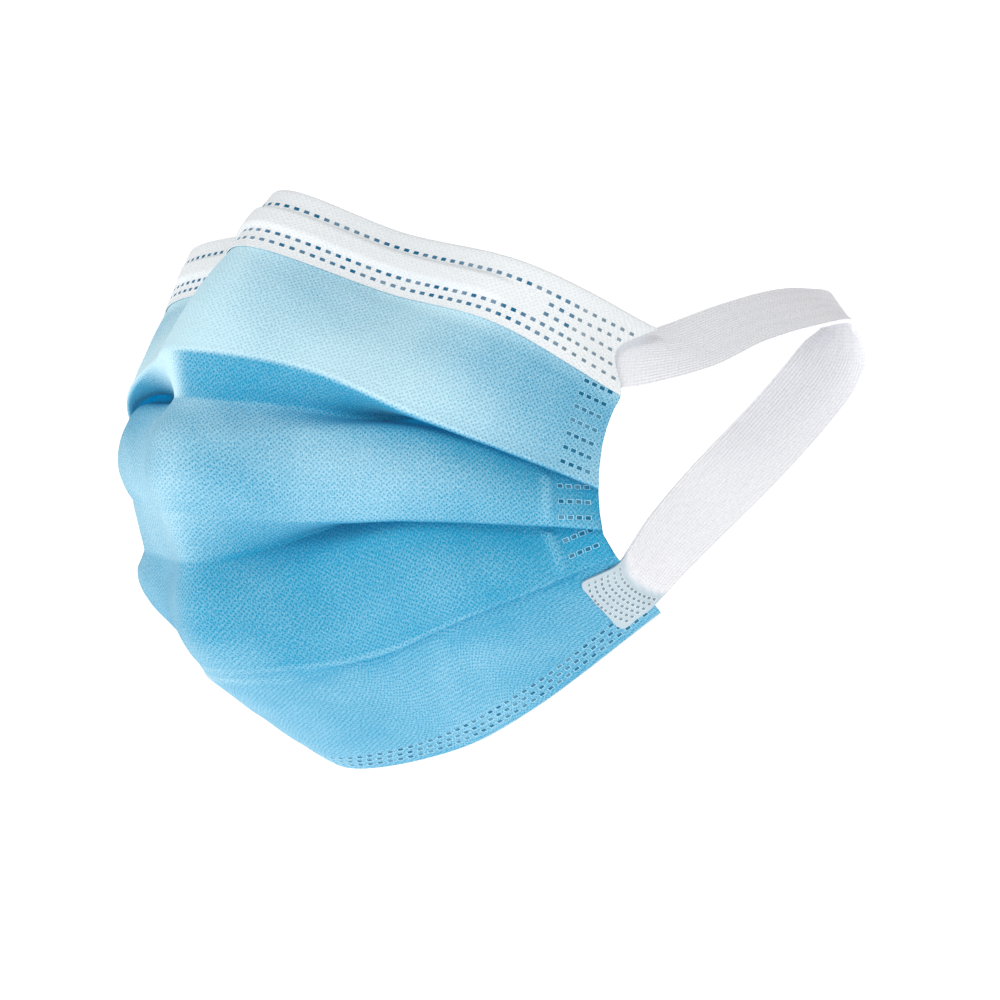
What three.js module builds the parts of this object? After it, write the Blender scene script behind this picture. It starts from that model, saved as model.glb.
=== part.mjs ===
// Surgical face mask in its worn shape: a pleated outer panel, a lining, a bound top edge
// over a nose wire, and two flat ear loops.
// Millimetres, +Z up, the wearer faces -Y. The origin is just behind the middle of the top edge,
// where the mask sits on the bridge of the nose.
import * as THREE from 'three';

// Cloth
const CLOTH_WALL = 1;
const PLY_STEP = 1.35;
const BINDING_STEP = 1.5;
const LINING_STEP = 2.6;
const CLOTH_WIDTH = 175;
const SECTIONS = 36;
const SHARPEST_CORNER = 0.6;

// Top binding and nose wire, measured down the cloth from the top edge
const BINDING_FRONT = 13.3;
const BINDING_BACK = 7;
const LINING_TOP = BINDING_BACK + 0.4;
const LINING_SHOW = 2;
const LINING_HEM = 1.8;
const WIRE_TOP = 3.6;
const WIRE_BOTTOM = 7.6;
const WIRE_THICK = 0.8;
const WIRE_LENGTH = 100;
const WIRE_RISE = 1.2;
const WIRE_TAPER = 8;
const WIRE_CLEAR = 0.4;
const WIRE_GAP = 0.35;
const WIRE_SLOPE = 1;
const BINDING_TURN = [0.75, 0.5, 0.25];

// Pleats
const FOLD_LENGTH = 9.5;
const SHUT_COSINE = -1;
const LEAVE_ANGLE = 0.2;
const WAY_SPAN = 0.09;

// Ear loops
const STRAP_WIDTH = 14.5;
const STRAP_THICK = 1.2;
const STRAP_GAP = 0.7;
const STRAP_STEPS = 44;
const STRAP_ACROSS = [0, 0.25, 0.5, 0.75, 1];
const TOP_WELD = [9, 5, 1.5];
const TOP_WELD_FROM = 0.04;
const TOP_WELD_TO = 0.92;
const TAB_WELD = [1, 4.5, 8];
const TAB_FROM = 0.16;
const TAB_TO = 0.86;

// Lines across the cloth, from the middle of the front to the side edge: x, y, z
const LINES = [
  {
    line: 'top edge', front: [0, -2.6, -0.8], flank: [20, 11, -9.3],
    cheek: [46, 18, -14.8], side: [60, 41, -27.6],
  },
  {
    line: 'binding', front: [0, -13.6, -10.7], flank: [24, 3.5, -20.2],
    cheek: [45, 10.5, -25.2], side: [61, 30.3, -40],
  },
  {
    line: 'ridge 1', front: [0, -31.5, -30], flank: [21, -17.5, -33.8],
    cheek: [40, -6.5, -42.6], side: [62.5, 22.1, -57.4],
  },
  {
    line: 'ridge 2', front: [0, -34, -62.5], flank: [20, -17, -63.8],
    cheek: [38.6, -6, -63.4], side: [63, 22.1, -65.5],
  },
  {
    line: 'ridge 3', front: [0, -21, -94.5], flank: [25, -4, -91.5],
    cheek: [45, 5, -82.5], side: [62.5, 26.4, -71.4],
  },
  {
    line: 'bottom edge', front: [0, 17.5, -117.2], flank: [21, 25.5, -112.6],
    cheek: [38.5, 29, -103.6], side: [60.5, 43.1, -83.6],
  },
];

// How each pleat opens at the middle of the front: the turn of its inner fold there in degrees, the
// fold's length, how far it goes in as it turns over, where it starts and ends closing as shares of each
// half width, the share of the next stretch that it runs out over, and how far the cloth below swells
const PLEATS = [
  {
    ridge: 'ridge 1', openTurn: 56, openLength: 9.7, inward: 8,
    closes: { left: [0.05, 0.9], right: [0.04, 0.78] }, runOut: 0.3, swell: 4.5,
  },
  {
    ridge: 'ridge 2', openTurn: 22, openLength: 9.5, inward: 6,
    closes: { left: [0, 0.8], right: [0.6, 1] }, runOut: 0.3, swell: 3,
  },
  {
    ridge: 'ridge 3', openTurn: 16, openLength: 1.5, inward: 1.2,
    closes: { left: [0, 0.6], right: [0.22, 0.7] }, runOut: 0.08, swell: 0.6,
  },
];
const BROW_SWELL = 1;
const SWELL_FADE = 3;
const BAND_ROWS = [0.33, 0.67];
const LOWER_ROWS = [0.2, 0.4, 0.6, 0.8];
const LINING_ROWS = [0.3, 0.65];
const LINING_STEPS = [1 / 3, 2 / 3];
const LINING_OPENS = [0.8, 1.4];

// Free part of the left loop, from the top corner round the ear to the bottom corner:
// the middle of the strap, and the way from its inner edge to its outer edge
const LOOP = [
  { at: [63, 47.2, -31], across: [0.83, -0.02, -0.55] },
  { at: [66, 61.5, -26.6], across: [0.88, -0.05, -0.46] },
  { at: [68, 76.2, -23.9], across: [0.85, -0.2, -0.45] },
  { at: [68.5, 86, -23.6], across: [0.8, -0.5, -0.3] },
  { at: [68.5, 90.5, -25.2], across: [0.75, -0.65, -0.1] },
  { at: [68, 91, -29], across: [0.9, -0.35, -0.1] },
  { at: [67, 89.8, -33.2], across: [0.92, 0.1, -0.3] },
  { at: [66.3, 87, -37.3], across: [0.8, 0.4, -0.4] },
  { at: [65, 80.5, -43.6], across: [0.65, 0.6, -0.47] },
  { at: [63.5, 68.4, -53], across: [0.5, 0.68, -0.53] },
  { at: [62.5, 55, -62.1], across: [0.3, 0.75, -0.58] },
  { at: [62, 43, -70.4], across: [0.1, 0.8, -0.6] },
];

const vector = (values) => new THREE.Vector3(...values);

const mirrored = (point) => new THREE.Vector3(-point.x, point.y, point.z);

const along = (start, ...steps) => {
  const point = start.clone();
  for (const [direction, length] of steps) {
    point.addScaledVector(direction, length);
  }
  return point;
};

const between = (start, end, share) => start.clone().lerp(end, share);

const direction = (start, end) => end.clone().sub(start).normalize();

const smooth = (points) => new THREE.CatmullRomCurve3(points, false, 'centripetal');

const curves = LINES.map((row) => {
  const half = [row.front, row.flank, row.cheek, row.side].map(vector);
  const far = half.slice(1).reverse().map(mirrored);
  return smooth([...far, ...half]);
});

// The way along a line, taken over a wide span so that it turns slowly round the sharp nose
function wideWay(curve, share) {
  const before = curve.getPointAt(Math.max(share - WAY_SPAN, 0));
  return direction(before, curve.getPointAt(Math.min(share + WAY_SPAN, 1)));
}

// A point on a stretch of cloth that swells out between its two ends
function swollen(start, end, share, out, swell, height) {
  return along(between(start, end, share), [out, 4 * share * (1 - share) * swell + height]);
}

// One section down the cloth. The share runs from 0 at the right edge to 1 at the left edge.
function sectionAt(share) {
  const reach = Math.abs(2 * share - 1);
  const fade = 1 - reach ** SWELL_FADE;
  const [top, bound, ...rest] = curves.map((curve) => curve.getPointAt(share));
  const bottom = rest.pop();
  const tangents = curves.map((curve) => curve.getTangentAt(share));
  const browDown = direction(top, bound);
  const browOut = browDown.clone().cross(tangents[0]).normalize();
  const points = [top, between(top, bound, 0.5), bound];
  const folds = [];
  let from = bound;
  let swell = BROW_SWELL;
  PLEATS.forEach((pleat, k) => {
    const ridge = rest[k];
    const next = rest[k + 1] ?? bottom;
    const down = direction(from, ridge);
    const out = down.clone().cross(wideWay(curves[k + 2], share)).normalize();
    points.push(...BAND_ROWS.map((share) => swollen(from, ridge, share, out, swell * fade, 0)));
    const half = share < 0.5 ? 'right' : 'left';
    const shut = THREE.MathUtils.smoothstep(reach, ...pleat.closes[half]);
    const openCosine = Math.cos(THREE.MathUtils.degToRad(pleat.openTurn));
    const angle = Math.acos(THREE.MathUtils.lerp(openCosine, SHUT_COSINE, shut));
    const length = THREE.MathUtils.lerp(pleat.openLength, FOLD_LENGTH, shut);
    const turn = (a, length, inward) => [[down, length * Math.cos(a)], [out, -inward * Math.sin(a)]];
    const ridgeIn = along(ridge, ...turn(angle / 2, PLY_STEP, PLY_STEP));
    const valley = along(ridgeIn, ...turn(angle, length, pleat.inward));
    const valleyIn = along(valley, ...turn((angle - LEAVE_ANGLE) / 2, PLY_STEP, PLY_STEP));
    const leaveOut = direction(valleyIn, next).cross(wideWay(curves[k + 3], share)).normalize();
    const leaveOpen = swollen(valleyIn, next, pleat.runOut, leaveOut, pleat.swell * fade, 0);
    const leaveShut = along(ridge, [out, -2 * PLY_STEP], [down, PLY_STEP]);
    const leave = between(leaveOpen, leaveShut, shut);
    points.push(ridge, ridgeIn, valley, valleyIn, leave);
    const middle = swollen(from, ridge, 0.5, out, swell * fade, 0);
    folds.push({ middle, ridge, ridgeIn, valley, valleyIn, down, out });
    from = leave;
    swell = pleat.swell * THREE.MathUtils.lerp((1 - pleat.runOut) ** 2, 1, shut);
  });
  const down = direction(from, bottom);
  const out = down.clone().cross(tangents[tangents.length - 1]).normalize();
  const lower = (share, height) => swollen(from, bottom, share, out, swell * fade, height);
  points.push(...LOWER_ROWS.map((share) => lower(share, 0)), bottom);
  return { reach, top, bound, bottom, browDown, browOut, down, out, points, folds, lower };
}

const sections = Array.from({ length: SECTIONS + 1 }, (_, i) => sectionAt(i / SECTIONS));

// A point on or off the top strip of cloth, at a depth below the top edge and a height off the cloth
function browPoint(section, depth, height) {
  const onCloth = between(section.top, section.bound, depth / BINDING_FRONT);
  return along(onCloth, [section.browOut, height]);
}

// A closed wall of even thickness about a sheet of points, a row of points for each section
function wall(sheet, thickness) {
  const columns = sheet.length;
  const rows = sheet[0].length;
  const front = [];
  const back = [];
  sheet.forEach((section, i) => {
    const before = sheet[Math.max(i - 1, 0)];
    const after = sheet[Math.min(i + 1, columns - 1)];
    section.forEach((point, j) => {
      const sideways = direction(before[j], after[j]);
      const down = direction(section[Math.max(j - 1, 0)], section[Math.max(j, 1)]);
      const on = direction(section[Math.min(j, rows - 2)], section[Math.min(j + 1, rows - 1)]);
      const normal = down.cross(sideways).normalize();
      const nextNormal = on.cross(sideways).normalize();
      const middle = normal.clone().add(nextNormal).normalize();
      const half = thickness / 2 / Math.max(middle.dot(normal), SHARPEST_CORNER);
      front.push(along(point, [middle, half]));
      back.push(along(point, [middle, -half]));
    });
  });
  const positions = [...front, ...back].flatMap((p) => [p.x, p.y, p.z]);
  const index = [];
  const quad = (a, b, c, d) => index.push(a, b, c, a, c, d);
  const f = (i, j) => i * rows + j;
  const b = (i, j) => columns * rows + f(i, j);
  for (let i = 0; i < columns - 1; i += 1) {
    for (let j = 0; j < rows - 1; j += 1) {
      quad(f(i, j), f(i, j + 1), f(i + 1, j + 1), f(i + 1, j));
      quad(b(i, j), b(i + 1, j), b(i + 1, j + 1), b(i, j + 1));
    }
    quad(f(i, 0), f(i + 1, 0), b(i + 1, 0), b(i, 0));
    quad(f(i, rows - 1), b(i, rows - 1), b(i + 1, rows - 1), f(i + 1, rows - 1));
  }
  for (let j = 0; j < rows - 1; j += 1) {
    quad(f(0, j), b(0, j), b(0, j + 1), f(0, j + 1));
    const end = columns - 1;
    quad(f(end, j), f(end, j + 1), b(end, j + 1), b(end, j));
  }
  const geometry = new THREE.BufferGeometry();
  geometry.setAttribute('position', new THREE.Float32BufferAttribute(positions, 3));
  geometry.setIndex(index);
  geometry.computeVertexNormals();
  return geometry;
}

// Outer panel
const panelSheet = sections.map((section) => section.points);

// Lining behind one pleat, from the stretch of cloth above it to its inner fold. It follows an open pleat
// into the corner behind the ridge, and runs straight past a closed one.
function liningBehind(fold, before) {
  const inward = fold.out.clone().negate();
  const up = fold.down.clone().negate();
  const foldWay = direction(fold.ridgeIn, fold.valley);
  const open = up.angleTo(foldWay);
  const closed = 1 - THREE.MathUtils.smoothstep(open, ...LINING_OPENS);
  const overFold = along(up, [foldWay, -up.dot(foldWay)]).normalize();
  const round = along(overFold, [inward, 1]).normalize();
  const turned = round.multiplyScalar(LINING_STEP / Math.max(round.dot(inward), SHARPEST_CORNER));
  const past = fold.valleyIn.clone().add(turned.lerp(inward.clone().multiplyScalar(LINING_STEP), closed));
  const room = LINING_STEP / Math.max(Math.sin(open / 2), SHARPEST_CORNER);
  const corner = along(fold.ridge, [direction(fold.down, foldWay), room]);
  const followed = [along(fold.middle, [inward, LINING_STEP]), corner];
  const straight = LINING_STEPS.map((share) => between(before, past, share));
  return [...followed.map((point, k) => between(point, straight[k], closed)), past];
}

// Lining
const liningSheet = sections.map((section) => {
  const points = [LINING_TOP, BINDING_FRONT].map((depth) => browPoint(section, depth, -PLY_STEP));
  for (const fold of section.folds) {
    points.push(...liningBehind(fold, points[points.length - 1]));
  }
  return [
    ...points,
    ...LINING_ROWS.map((share) => section.lower(share, -LINING_STEP)),
    along(section.bottom, [section.out, -LINING_HEM], [section.down, LINING_SHOW]),
  ];
});

// Binding, from its back edge over the top edge and down the front, raised over the wire
const bindingSheet = sections.map((section) => {
  const halfWire = WIRE_LENGTH / CLOTH_WIDTH;
  const taper = (2 * WIRE_TAPER) / CLOTH_WIDTH;
  const past = THREE.MathUtils.smoothstep(section.reach, halfWire, halfWire + taper);
  const raised = BINDING_STEP + WIRE_RISE * (1 - past);
  const overTop = BINDING_TURN.map((share) => {
    const angle = share * Math.PI;
    const out = [section.browOut, BINDING_STEP * Math.cos(angle)];
    return along(section.top, out, [section.browDown, -BINDING_STEP * Math.sin(angle)]);
  });
  return [
    browPoint(section, BINDING_BACK, -BINDING_STEP),
    browPoint(section, 0, -BINDING_STEP),
    ...overTop,
    browPoint(section, 0, BINDING_STEP),
    browPoint(section, WIRE_TOP - WIRE_CLEAR - WIRE_SLOPE, BINDING_STEP),
    browPoint(section, WIRE_TOP - WIRE_CLEAR, raised),
    browPoint(section, WIRE_BOTTOM + WIRE_CLEAR, raised),
    browPoint(section, WIRE_BOTTOM + WIRE_CLEAR + WIRE_SLOPE, BINDING_STEP),
    browPoint(section, BINDING_FRONT, BINDING_STEP),
  ];
});

// Nose wire
const wireHeight = (CLOTH_WALL + WIRE_THICK) / 2 + WIRE_GAP;
const wireSheet = sections
  .filter((section) => section.reach <= WIRE_LENGTH / CLOTH_WIDTH)
  .map((section) => [WIRE_TOP, WIRE_BOTTOM].map((depth) => browPoint(section, depth, wireHeight)));

// Ear loop: welded inside the top corner, free round the ear, welded outside the bottom corner
function loopSheet() {
  const inside = BINDING_STEP + (CLOTH_WALL + STRAP_THICK) / 2 + STRAP_GAP;
  const outside = (CLOTH_WALL + STRAP_THICK) / 2 + STRAP_GAP;
  const topWeld = TOP_WELD.map((inset) => {
    const section = sectionAt(1 - inset / CLOTH_WIDTH);
    return STRAP_ACROSS.map((share) => {
      const depth = THREE.MathUtils.lerp(TOP_WELD_FROM, TOP_WELD_TO, share) * BINDING_FRONT;
      return browPoint(section, depth, -inside);
    });
  });
  const tab = TAB_WELD.map((inset) => {
    const section = sectionAt(1 - inset / CLOTH_WIDTH);
    return STRAP_ACROSS.map((share) => {
      return section.lower(THREE.MathUtils.lerp(TAB_FROM, TAB_TO, share), outside);
    });
  });
  const route = smooth(LOOP.map((row) => vector(row.at)));
  const free = LOOP.map((row, k) => {
    const way = route.getTangent(k / (LOOP.length - 1));
    const across = vector(row.across);
    across.addScaledVector(way, -across.dot(way)).normalize();
    return STRAP_ACROSS.map((share) => along(vector(row.at), [across, (share - 0.5) * STRAP_WIDTH]));
  });
  const rows = [...topWeld, ...free, ...tab];
  const runs = STRAP_ACROSS.map((_, j) => smooth(rows.map((row) => row[j])));
  return Array.from({ length: STRAP_STEPS + 1 }, (_, i) => runs.map((run) => run.getPoint(i / STRAP_STEPS)));
}

const leftLoop = loopSheet().reverse();
const rightLoop = leftLoop.map((row) => row.map(mirrored)).reverse();

const material = (color, roughness) => new THREE.MeshStandardMaterial({ color, roughness });
const blueCloth = material('#8cccea', 0.9);
const whiteCloth = material('#eef1f5', 0.9);
const elastic = material('#dfdfe6', 0.85);
const wireMetal = material('#c8cdd2', 0.4);

const mask = new THREE.Group();
mask.name = 'surgical_face_mask';

function add(name, geometry, surface) {
  const mesh = new THREE.Mesh(geometry, surface);
  mesh.name = name;
  mask.add(mesh);
}

add('outer_panel', wall(panelSheet, CLOTH_WALL), blueCloth);
add('inner_lining', wall(liningSheet, CLOTH_WALL), whiteCloth);
add('top_binding', wall(bindingSheet, CLOTH_WALL), whiteCloth);
add('nose_wire', wall(wireSheet, WIRE_THICK), wireMetal);
add('ear_loop_left', wall(leftLoop, STRAP_THICK), elastic);
add('ear_loop_right', wall(rightLoop, STRAP_THICK), elastic);

export default mask;
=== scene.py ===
"""Surgical face mask in its worn shape: a pleated outer panel of blue spunbond, a white lining, a bound
top edge over a nose wire, and two flat knitted ear loops, dressed over the solids of the part.

Metres, +Z up, the wearer faces -Y. The origin is just behind the middle of the top edge."""

import math

import bpy
import numpy as np
from bpy.props import FloatProperty, FloatVectorProperty, IntProperty, PointerProperty
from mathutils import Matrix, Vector, noise
from mathutils.bvhtree import BVHTree


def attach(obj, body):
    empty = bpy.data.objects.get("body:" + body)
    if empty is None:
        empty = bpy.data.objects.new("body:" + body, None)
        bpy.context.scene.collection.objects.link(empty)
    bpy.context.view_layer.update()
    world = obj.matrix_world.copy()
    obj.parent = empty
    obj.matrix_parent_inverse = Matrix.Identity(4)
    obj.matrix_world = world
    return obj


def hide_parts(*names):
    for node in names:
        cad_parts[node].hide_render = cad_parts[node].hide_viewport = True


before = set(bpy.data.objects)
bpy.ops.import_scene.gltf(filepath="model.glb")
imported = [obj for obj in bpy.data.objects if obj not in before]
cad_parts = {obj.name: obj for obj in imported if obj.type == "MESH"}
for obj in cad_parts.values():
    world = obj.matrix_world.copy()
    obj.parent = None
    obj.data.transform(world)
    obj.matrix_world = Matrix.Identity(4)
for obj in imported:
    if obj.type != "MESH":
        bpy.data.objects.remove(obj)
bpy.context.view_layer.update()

bl_info = {
    "name": "Surgical Face Mask",
    "version": (1, 0, 0),
    "blender": (4, 5, 0),
    "location": "View3D > Sidebar > Face Mask",
    "description": "Dresses the pleated face mask: cloth plies, welds, nose wire, ear loops and stage",
    "category": "Object",
}

MM = 0.001

# Lines across the cloth, from the middle of the front to the left side edge, in millimetres
LINES = {
    "top edge": ((0, -2.6, -0.8), (20, 11, -9.3), (46, 18, -14.8), (60, 41, -27.6)),
    "binding": ((0, -13.6, -10.7), (24, 3.5, -20.2), (45, 10.5, -25.2), (61, 30.3, -40)),
    "ridge 1": ((0, -31.5, -30), (21, -17.5, -33.8), (40, -6.5, -42.6), (62.5, 22.1, -57.4)),
    "ridge 2": ((0, -34, -62.5), (20, -17, -63.8), (38.6, -6, -63.4), (63, 22.1, -65.5)),
    "ridge 3": ((0, -21, -94.5), (25, -4, -91.5), (45, 5, -82.5), (62.5, 26.4, -71.4)),
    "bottom edge": ((0, 17.5, -117.2), (21, 25.5, -112.6), (38.5, 29, -103.6), (60.5, 43.1, -83.6)),
}

# How each pleat opens at the middle of the front: the turn of its inner fold there in degrees, its length
# and how far it goes in, in millimetres, where it closes as shares of the left and of the right half width,
# the share of the next stretch that it runs out over, and how far the cloth below it swells, in millimetres
PLEATS = (
    {
        "ridge": "ridge 1", "next": "ridge 2", "turn": 56, "open": 9.7, "inward": 8,
        "closes": ((0.05, 0.9), (0.04, 0.78)), "run": 0.3, "swell": 4.5,
    },
    {
        "ridge": "ridge 2", "next": "ridge 3", "turn": 22, "open": 9.5, "inward": 6,
        "closes": ((0, 0.8), (0.6, 1)), "run": 0.3, "swell": 3,
    },
    {
        "ridge": "ridge 3", "next": "bottom edge", "turn": 16, "open": 1.5, "inward": 1.2,
        "closes": ((0, 0.6), (0.22, 0.7)), "run": 0.08, "swell": 0.6,
    },
)

# Painted shade and highlight of the cloth about each pleat, as a share of the painted light where it
# lies open. Rim: on the ridge, in the middle and at the sides, and turns, the reach where the one becomes
# the other. Lip: the least tone on the ridge itself, a painted highlight. Fold: painted shade inside the
# fold, in the left and the right half, and folds, the turns in radians between which it shows. Shade:
# painted shade under the closed ridge, and dims, the turns between which it falls on the cloth below.
# Crease: the share of the tone left in the valley, a painted shade. Below: below the pleat, in the middle
# and at the sides, and far, its share in the right half.
PAINTED_PLEAT_SHADES = {
    "ridge 1": {
        "rim": (1.15, 0.74), "turns": (0.6, 0.85), "lip": 0, "fold": (0.15, 1.3),
        "folds": (0.5, 1), "shade": 0.06, "dims": (1.1, 2),
        "crease": 1, "below": (0.5, 0.5), "far": 0.78,
    },
    "ridge 2": {
        "rim": (0.6, 0.45), "turns": (0.3, 0.7), "lip": 0, "fold": (0.5, 0.34),
        "folds": (0.4, 0.7), "shade": 0, "dims": (0.7, 1.4),
        "crease": 0.12, "below": (0.16, 0.26), "far": 1.7,
    },
    "ridge 3": {
        "rim": (0.5, 0.2), "turns": (0.06, 0.22), "lip": 0.6, "fold": (0.5, 0.5),
        "folds": (0.5, 1), "shade": 0.36, "dims": (1.1, 2),
        "crease": 1, "below": (0.64, 0.8), "far": 1,
    },
}

# Free part of the left loop from the top corner round the ear to the bottom corner, in millimetres:
# the middle of the strap, and the way from its inner edge to its outer edge
LOOP = (
    ((63, 47.2, -31), (0.83, -0.02, -0.55)),
    ((66, 61.5, -26.6), (0.88, -0.05, -0.46)),
    ((68, 76.2, -23.9), (0.85, -0.2, -0.45)),
    ((68.5, 86, -23.6), (0.8, -0.5, -0.3)),
    ((68.5, 90.5, -25.2), (0.75, -0.65, -0.1)),
    ((68, 91, -29), (0.9, -0.35, -0.1)),
    ((67, 89.8, -33.2), (0.92, 0.1, -0.3)),
    ((66.3, 87, -37.3), (0.8, 0.4, -0.4)),
    ((65, 80.5, -43.6), (0.65, 0.6, -0.47)),
    ((63.5, 68.4, -53), (0.5, 0.68, -0.53)),
    ((62.5, 55, -62.1), (0.3, 0.75, -0.58)),
    ((62, 43, -70.4), (0.1, 0.8, -0.6)),
)

# Cloth
CLOTH_WIDTH = 175 * MM
PLY_STEP = 1 * MM
FOLD_LENGTH = 9.5 * MM
LEAVE_ANGLE = 0.2
BROW_SWELL = 1 * MM
SWELL_FADE = 3
END_HOLLOW = 5 * MM
END_FROM = (0.8, 1)
SIDE_HOLLOW = 1.3 * MM
SIDE_FLUSH = 0.9 * MM
WAVE_WIDTH = 22 * MM
WAVE_HEIGHT = 13 * MM
WAVE_SEED = 0.5
WAVE_ROUGHNESS = (1, 2, 3)
WAVE_TOP = (10 * MM, 20 * MM)
WAVE_BOTTOM = (2 * MM, 12 * MM)
WAVE_SIDE = (0, 14 * MM)
PUCKER_INSET = 10.7 * MM
PUCKER_WIDTH = 1.2 * MM
PUCKER_FADE = 4
# Painted highlight along the pucker, as a share of tone
PUCKER_HIGHLIGHT = 0.34
# Painted shade of a crease down from the pinch in the first pleat, which the cloth's shape does not have
PINCH_LINE = (-0.08, 0.19)
PINCH_WIDTH = 0.06
PINCH_FROM = (0.3, 0.42)
PINCH_TO = (0.7, 1)
PINCH_SHADE = 0.24
BAND_ROWS = (0.15, 0.33, 0.5, 0.67, 0.85, 0.95)
ROW_PITCH = 0.9 * MM
FOLD_STEPS = 5
COLUMNS = 196
GUIDE_STEP = 1 * MM
WAY_SPAN = 18
LINE_STEPS = 120
SHARP_EDGE = math.radians(60)

# Light that is baked into the outer ply's colour as painted light and shade: its main way, how narrow it is,
# and how finely it is gathered
LIGHT_WAY = Vector((-0.4, -0.8, 0.4))
LIGHT_FOCUS = 2
LIGHT_WAYS = 220
LIGHT_STRIDE = 2
LIGHT_CLEAR = 0.4 * MM
LIGHT_REACH = 60 * MM
LIGHT_RANGE = (0.18, 0.8)
# Painted glow in the creases, over this range of how much light reaches them
PAINTED_GLOW_RANGE = (0, 0.12)
# Painted shade and highlight about the pleats and on the brow, and a lighter band along the hem
LAP_TURN = (1.1, 2)
TONE_DEPTH = 11 * MM
SIDE_FROM = (0.45, 0.85)
# Painted shade on the brow: its share in the middle, beside it and at the ends, and where each begins
BROW_SHADES = (0.94, 0.62, 0.84)
BROW_FROM = (0.3, 0.6)
BROW_END = (0.7, 1)
RIM_FROM = (0.3, 0.95)
HALVES = (-0.08, 0.03)
CREASE_TURN = (0.42, 0.7)
CREASE_SHARE = 0.05
HEM_BAND = (1 * MM, 1.8 * MM, 6.2 * MM, 7.4 * MM)
HEM_TONE = 0.14

# Top binding and nose wire, as lengths down the cloth from the top edge
BINDING_FRONT = 13.3 * MM
BINDING_BACK = 7 * MM
BINDING_ROW = 0.4 * MM
WIRE_TOP = 4.3 * MM
WIRE_BOTTOM = 7.8 * MM
WIRE_SLOPE = 1 * MM
WIRE_LENGTH = 100 * MM
WIRE_TAPER = 8 * MM
WIRE_CLEAR = 0.1 * MM
WIRE_COLUMNS = 120
WIRE_ROWS = 9
WIRE_ROUND = 0.75
BINDING_TURNS = 7
HEM_ROWS = 2

# Ear loops
STRAP_WIDTH = 14.5 * MM
TOP_WELD = (9 * MM, 5 * MM, 1.5 * MM)
TOP_WELD_DEPTH = (0.04, 0.92)
TAB_WELD = ((1 * MM, 0), (5 * MM, 0), (8.7 * MM, 0), (9.6 * MM, 0.07))
TAB_SHARE = (0.1, 0.86)
TOP_CLEAR = 0.05 * MM
TAB_CLEAR = 0.02 * MM
TOP_MELT = (11 * MM, 15 * MM)
TAB_MELT = (10.9 * MM, 9.3 * MM)
STRAP_RUNS = 5
STRAP_STEPS = 9
RIB_STEPS = 6

# Weld marks: the rows on the binding as depths from the top edge, those beside the pleats as heights above
# each ridge, those on the hem as heights above the bottom edge, those on a tab as lengths from its end
MARK_SUNK = 0.1 * MM
MARK_CORNER = 0.14
MARK_PRESSED = 0.75
FLOOR_SHARE = 0.8
END_INSET = 1.6 * MM
END_WELDED = 17.5 * MM
END_GRID = 22.4 * MM
END_SIZE = 0.9
WHOLE_ROWS = (2.6 * MM, 9.2 * MM, 11.3 * MM)
GRID_ROWS = (4.8 * MM, 7 * MM)
SIDE_ROWS = {
    "ridge 1": (2.1, 5, 7.9, 10.8, 13.7, 16.6, 19.5),
    "ridge 2": (1.8, 4.9, 8),
    "ridge 3": (3.6, 6.9),
}
SIDE_COLUMN = (2.5 * MM, 8.05 * MM)
SIDE_MARKS = 4
BOTTOM_ROWS = (2.1 * MM, 3.9 * MM, 5.7 * MM)
BOTTOM_PITCH = 2.2 * MM
BOTTOM_SHIFT = 1.1 * MM
BOTTOM_INSET = 2 * MM
TAB_ROWS = (1.4 * MM, 2.8 * MM, 4.2 * MM, 5.6 * MM, 7 * MM, 8.4 * MM)
TAB_INSET = 1.3 * MM
TAB_MARKS = 11
TAB_SIZE = 0.72

# Stage
CAMERA_AZIMUTH = math.radians(42)
CAMERA_ELEVATION = math.radians(4)
CAMERA_DISTANCE = 1.4
CAMERA_TARGET = Vector((33.9, 24.8, -61.5)) * MM
VIEW_WIDTH = 0.2
FLOOR_DROP = 0.32
FLOOR_SIZE = 400
FLOOR_WHITE = 0.9
FLOOR_GLOW = 0.8
SKY_HEIGHTS = (0.05, 0.35)
SKY_STRENGTHS = (1.05, 0.5)
KEY_AT = Vector((0.3, -1, 0.85))
KEY_SIZE = 0.6
KEY_POWER = 5


def linear(code):
    """The linear colour of an sRGB hex value."""
    parts = [int(code[k:k + 2], 16) / 255 for k in (1, 3, 5)]
    return tuple(c / 12.92 if c <= 0.04045 else ((c + 0.055) / 1.055) ** 2.4 for c in parts)


def length_property(name, description, default):
    """A length in metres for the sidebar."""
    return FloatProperty(
        name=name, description=description, default=default, min=0, precision=5, unit="LENGTH",
    )


def colour_property(name, description, code):
    """A colour for the sidebar, from its sRGB hex value."""
    return FloatVectorProperty(
        name=name, description=description, default=linear(code), size=3, min=0, max=1, subtype="COLOR",
    )


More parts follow.
